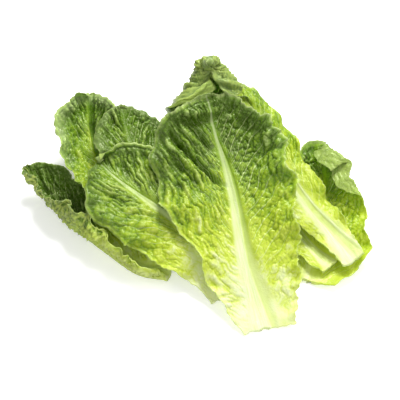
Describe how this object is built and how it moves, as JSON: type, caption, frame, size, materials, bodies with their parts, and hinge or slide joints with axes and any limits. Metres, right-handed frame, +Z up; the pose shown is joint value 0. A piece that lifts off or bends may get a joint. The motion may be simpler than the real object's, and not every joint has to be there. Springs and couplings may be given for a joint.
{
  "type": "romaine lettuce leaves",
  "caption": "Romaine lettuce head snapped apart into loose leaves, heaped as they fall: crinkled green blades with waved margins and thick pale midribs, lying on a surface",
  "frame": {"origin": "middle of the heap's footprint, on the surface that it lies on", "axes": "+X to the right along the longest side of the heap, +Y to the back where the leaf tips lie, +Z up"},
  "size_m": [0.4166, 0.3346, 0.1134],
  "materials": {
    "green_leaf": null,
    "pale_leaf": null
  },
  "bodies": {
    "root": {"leaf_far_left": "green_leaf", "leaf_back_left": "green_leaf", "leaf_back_hooded": "green_leaf", "leaf_right_cupped": "green_leaf", "leaf_back_inner": "green_leaf", "leaf_right_short": "pale_leaf", "leaf_right_long": "pale_leaf", "leaf_front_left": "green_leaf", "leaf_front": "green_leaf"}
  },
  "joints": []
}
